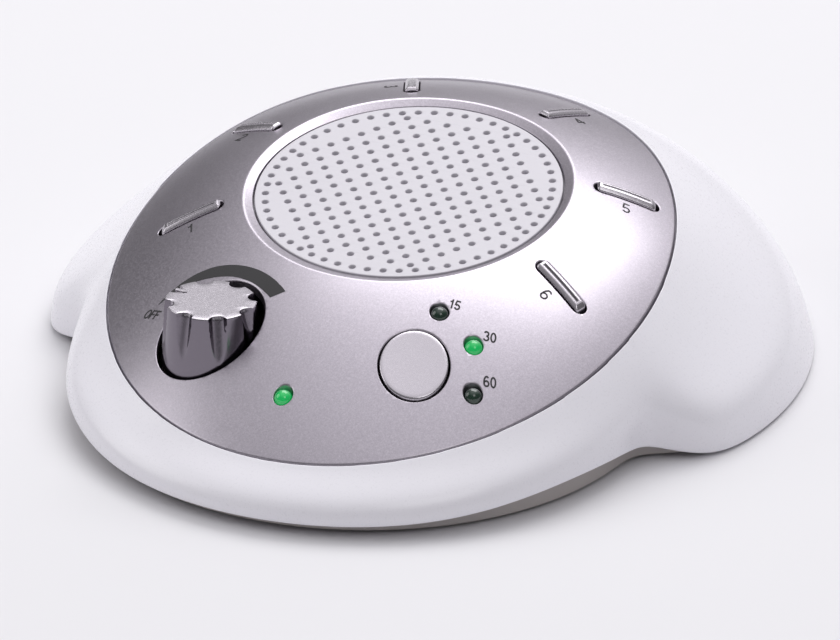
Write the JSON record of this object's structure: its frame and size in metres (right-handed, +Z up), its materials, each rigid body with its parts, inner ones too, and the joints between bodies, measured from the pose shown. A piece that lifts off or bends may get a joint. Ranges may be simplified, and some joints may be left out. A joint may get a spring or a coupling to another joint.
{
  "type": "white noise sound machine",
  "caption": "Table-top sound machine: domed oval control panel with round speaker grille, ray-set bar buttons, timer lamps and fluted volume knob, on a glossy winged shell over a shallow base.",
  "frame": {"origin": "bottom centre of the whole machine, on the surface that its feet stand on", "axes": "+Z up, +Y to the rear, +X to the right of someone facing the controls"},
  "size_m": [0.1676, 0.1828, 0.0483],
  "materials": {
    "shell_white": "gloss moulded",
    "panel_silver": "metallic paint",
    "grille_white": "satin moulded",
    "cloth_grey": "woven",
    "button_silver": "metallic paint",
    "lens_green_lit": "translucent",
    "lens_green_dark": "translucent",
    "base_white": "satin moulded",
    "rubber_grey": "matt",
    "steel": "plated",
    "black_plastic": "satin",
    "board_green": "solder mask",
    "magnet_grey": "sintered",
    "paper_black": "pressed paper",
    "cell_label": "printed film",
    "wire_red": "insulated"
  },
  "bodies": {
    "housing": {"outer_shell": "shell_white", "faceplate": "panel_silver", "speaker_grille": "grille_white", "grille_scrim": "cloth_grey", "speaker_basket": "steel", "speaker_cone": "paper_black", "dust_cap": "paper_black", "speaker_magnet": "magnet_grey", "speaker_screws": "steel", "volume_pot_body": "steel", "timer_switch": "black_plastic", "button_board": "board_green", "button_board_screws": "steel", "control_board": "board_green", "control_board_screws": "steel", "led_legs": "steel", "control_chips": "black_plastic", "capacitors": "black_plastic", "base_cover": "base_white", "battery_cells": "cell_label", "battery_contacts": "steel", "rubber_feet": "rubber_grey", "case_screws": "steel", "dc_jack": "black_plastic", "jack_pin": "steel", "speaker_leads": "wire_red", "battery_leads": "wire_red", "sound_switches": "black_plastic", "led_15": "lens_green_dark", "led_30": "lens_green_lit", "led_60": "lens_green_dark", "led_power": "lens_green_lit"},
    "volume": {"volume_knob": "button_silver", "volume_pot_shaft": "steel"},
    "timer": {"timer_button": "button_silver"},
    "door": {"battery_door": "base_white"},
    "sound_1": {"sound_button_1": "button_silver"},
    "sound_2": {"sound_button_2": "button_silver"},
    "sound_3": {"sound_button_3": "button_silver"},
    "sound_4": {"sound_button_4": "button_silver"},
    "sound_5": {"sound_button_5": "button_silver"},
    "sound_6": {"sound_button_6": "button_silver"}
  },
  "joints": [
    {"name": "volume_turn", "type": "hinge", "parent": "housing", "child": "volume", "pos_m": [-0.0242, -0.05515, 0.02], "axis": [0, 0, 1], "range_deg": [-240, 40]},
    {"name": "timer_press", "type": "slide", "parent": "housing", "child": "timer", "axis": [0, 0, -1], "range_m": [0, 0.0008], "stiffness_N_per_m": 600},
    {"name": "battery_door_swing", "type": "hinge", "parent": "housing", "child": "door", "pos_m": [0, 0.02355, 0.001], "axis": [-1, 0, 0], "range_deg": [0, 75]},
    {"name": "sound_press_1", "type": "slide", "parent": "housing", "child": "sound_1", "axis": [0, 0, -1], "range_m": [0, 0.0008], "stiffness_N_per_m": 600},
    {"name": "sound_press_2", "type": "slide", "parent": "housing", "child": "sound_2", "axis": [0, 0, -1], "range_m": [0, 0.0008], "stiffness_N_per_m": 600},
    {"name": "sound_press_3", "type": "slide", "parent": "housing", "child": "sound_3", "axis": [0, 0, -1], "range_m": [0, 0.0008], "stiffness_N_per_m": 600},
    {"name": "sound_press_4", "type": "slide", "parent": "housing", "child": "sound_4", "axis": [0, 0, -1], "range_m": [0, 0.0008], "stiffness_N_per_m": 600},
    {"name": "sound_press_5", "type": "slide", "parent": "housing", "child": "sound_5", "axis": [0, 0, -1], "range_m": [0, 0.0008], "stiffness_N_per_m": 600},
    {"name": "sound_press_6", "type": "slide", "parent": "housing", "child": "sound_6", "axis": [0, 0, -1], "range_m": [0, 0.0008], "stiffness_N_per_m": 600}
  ]
}
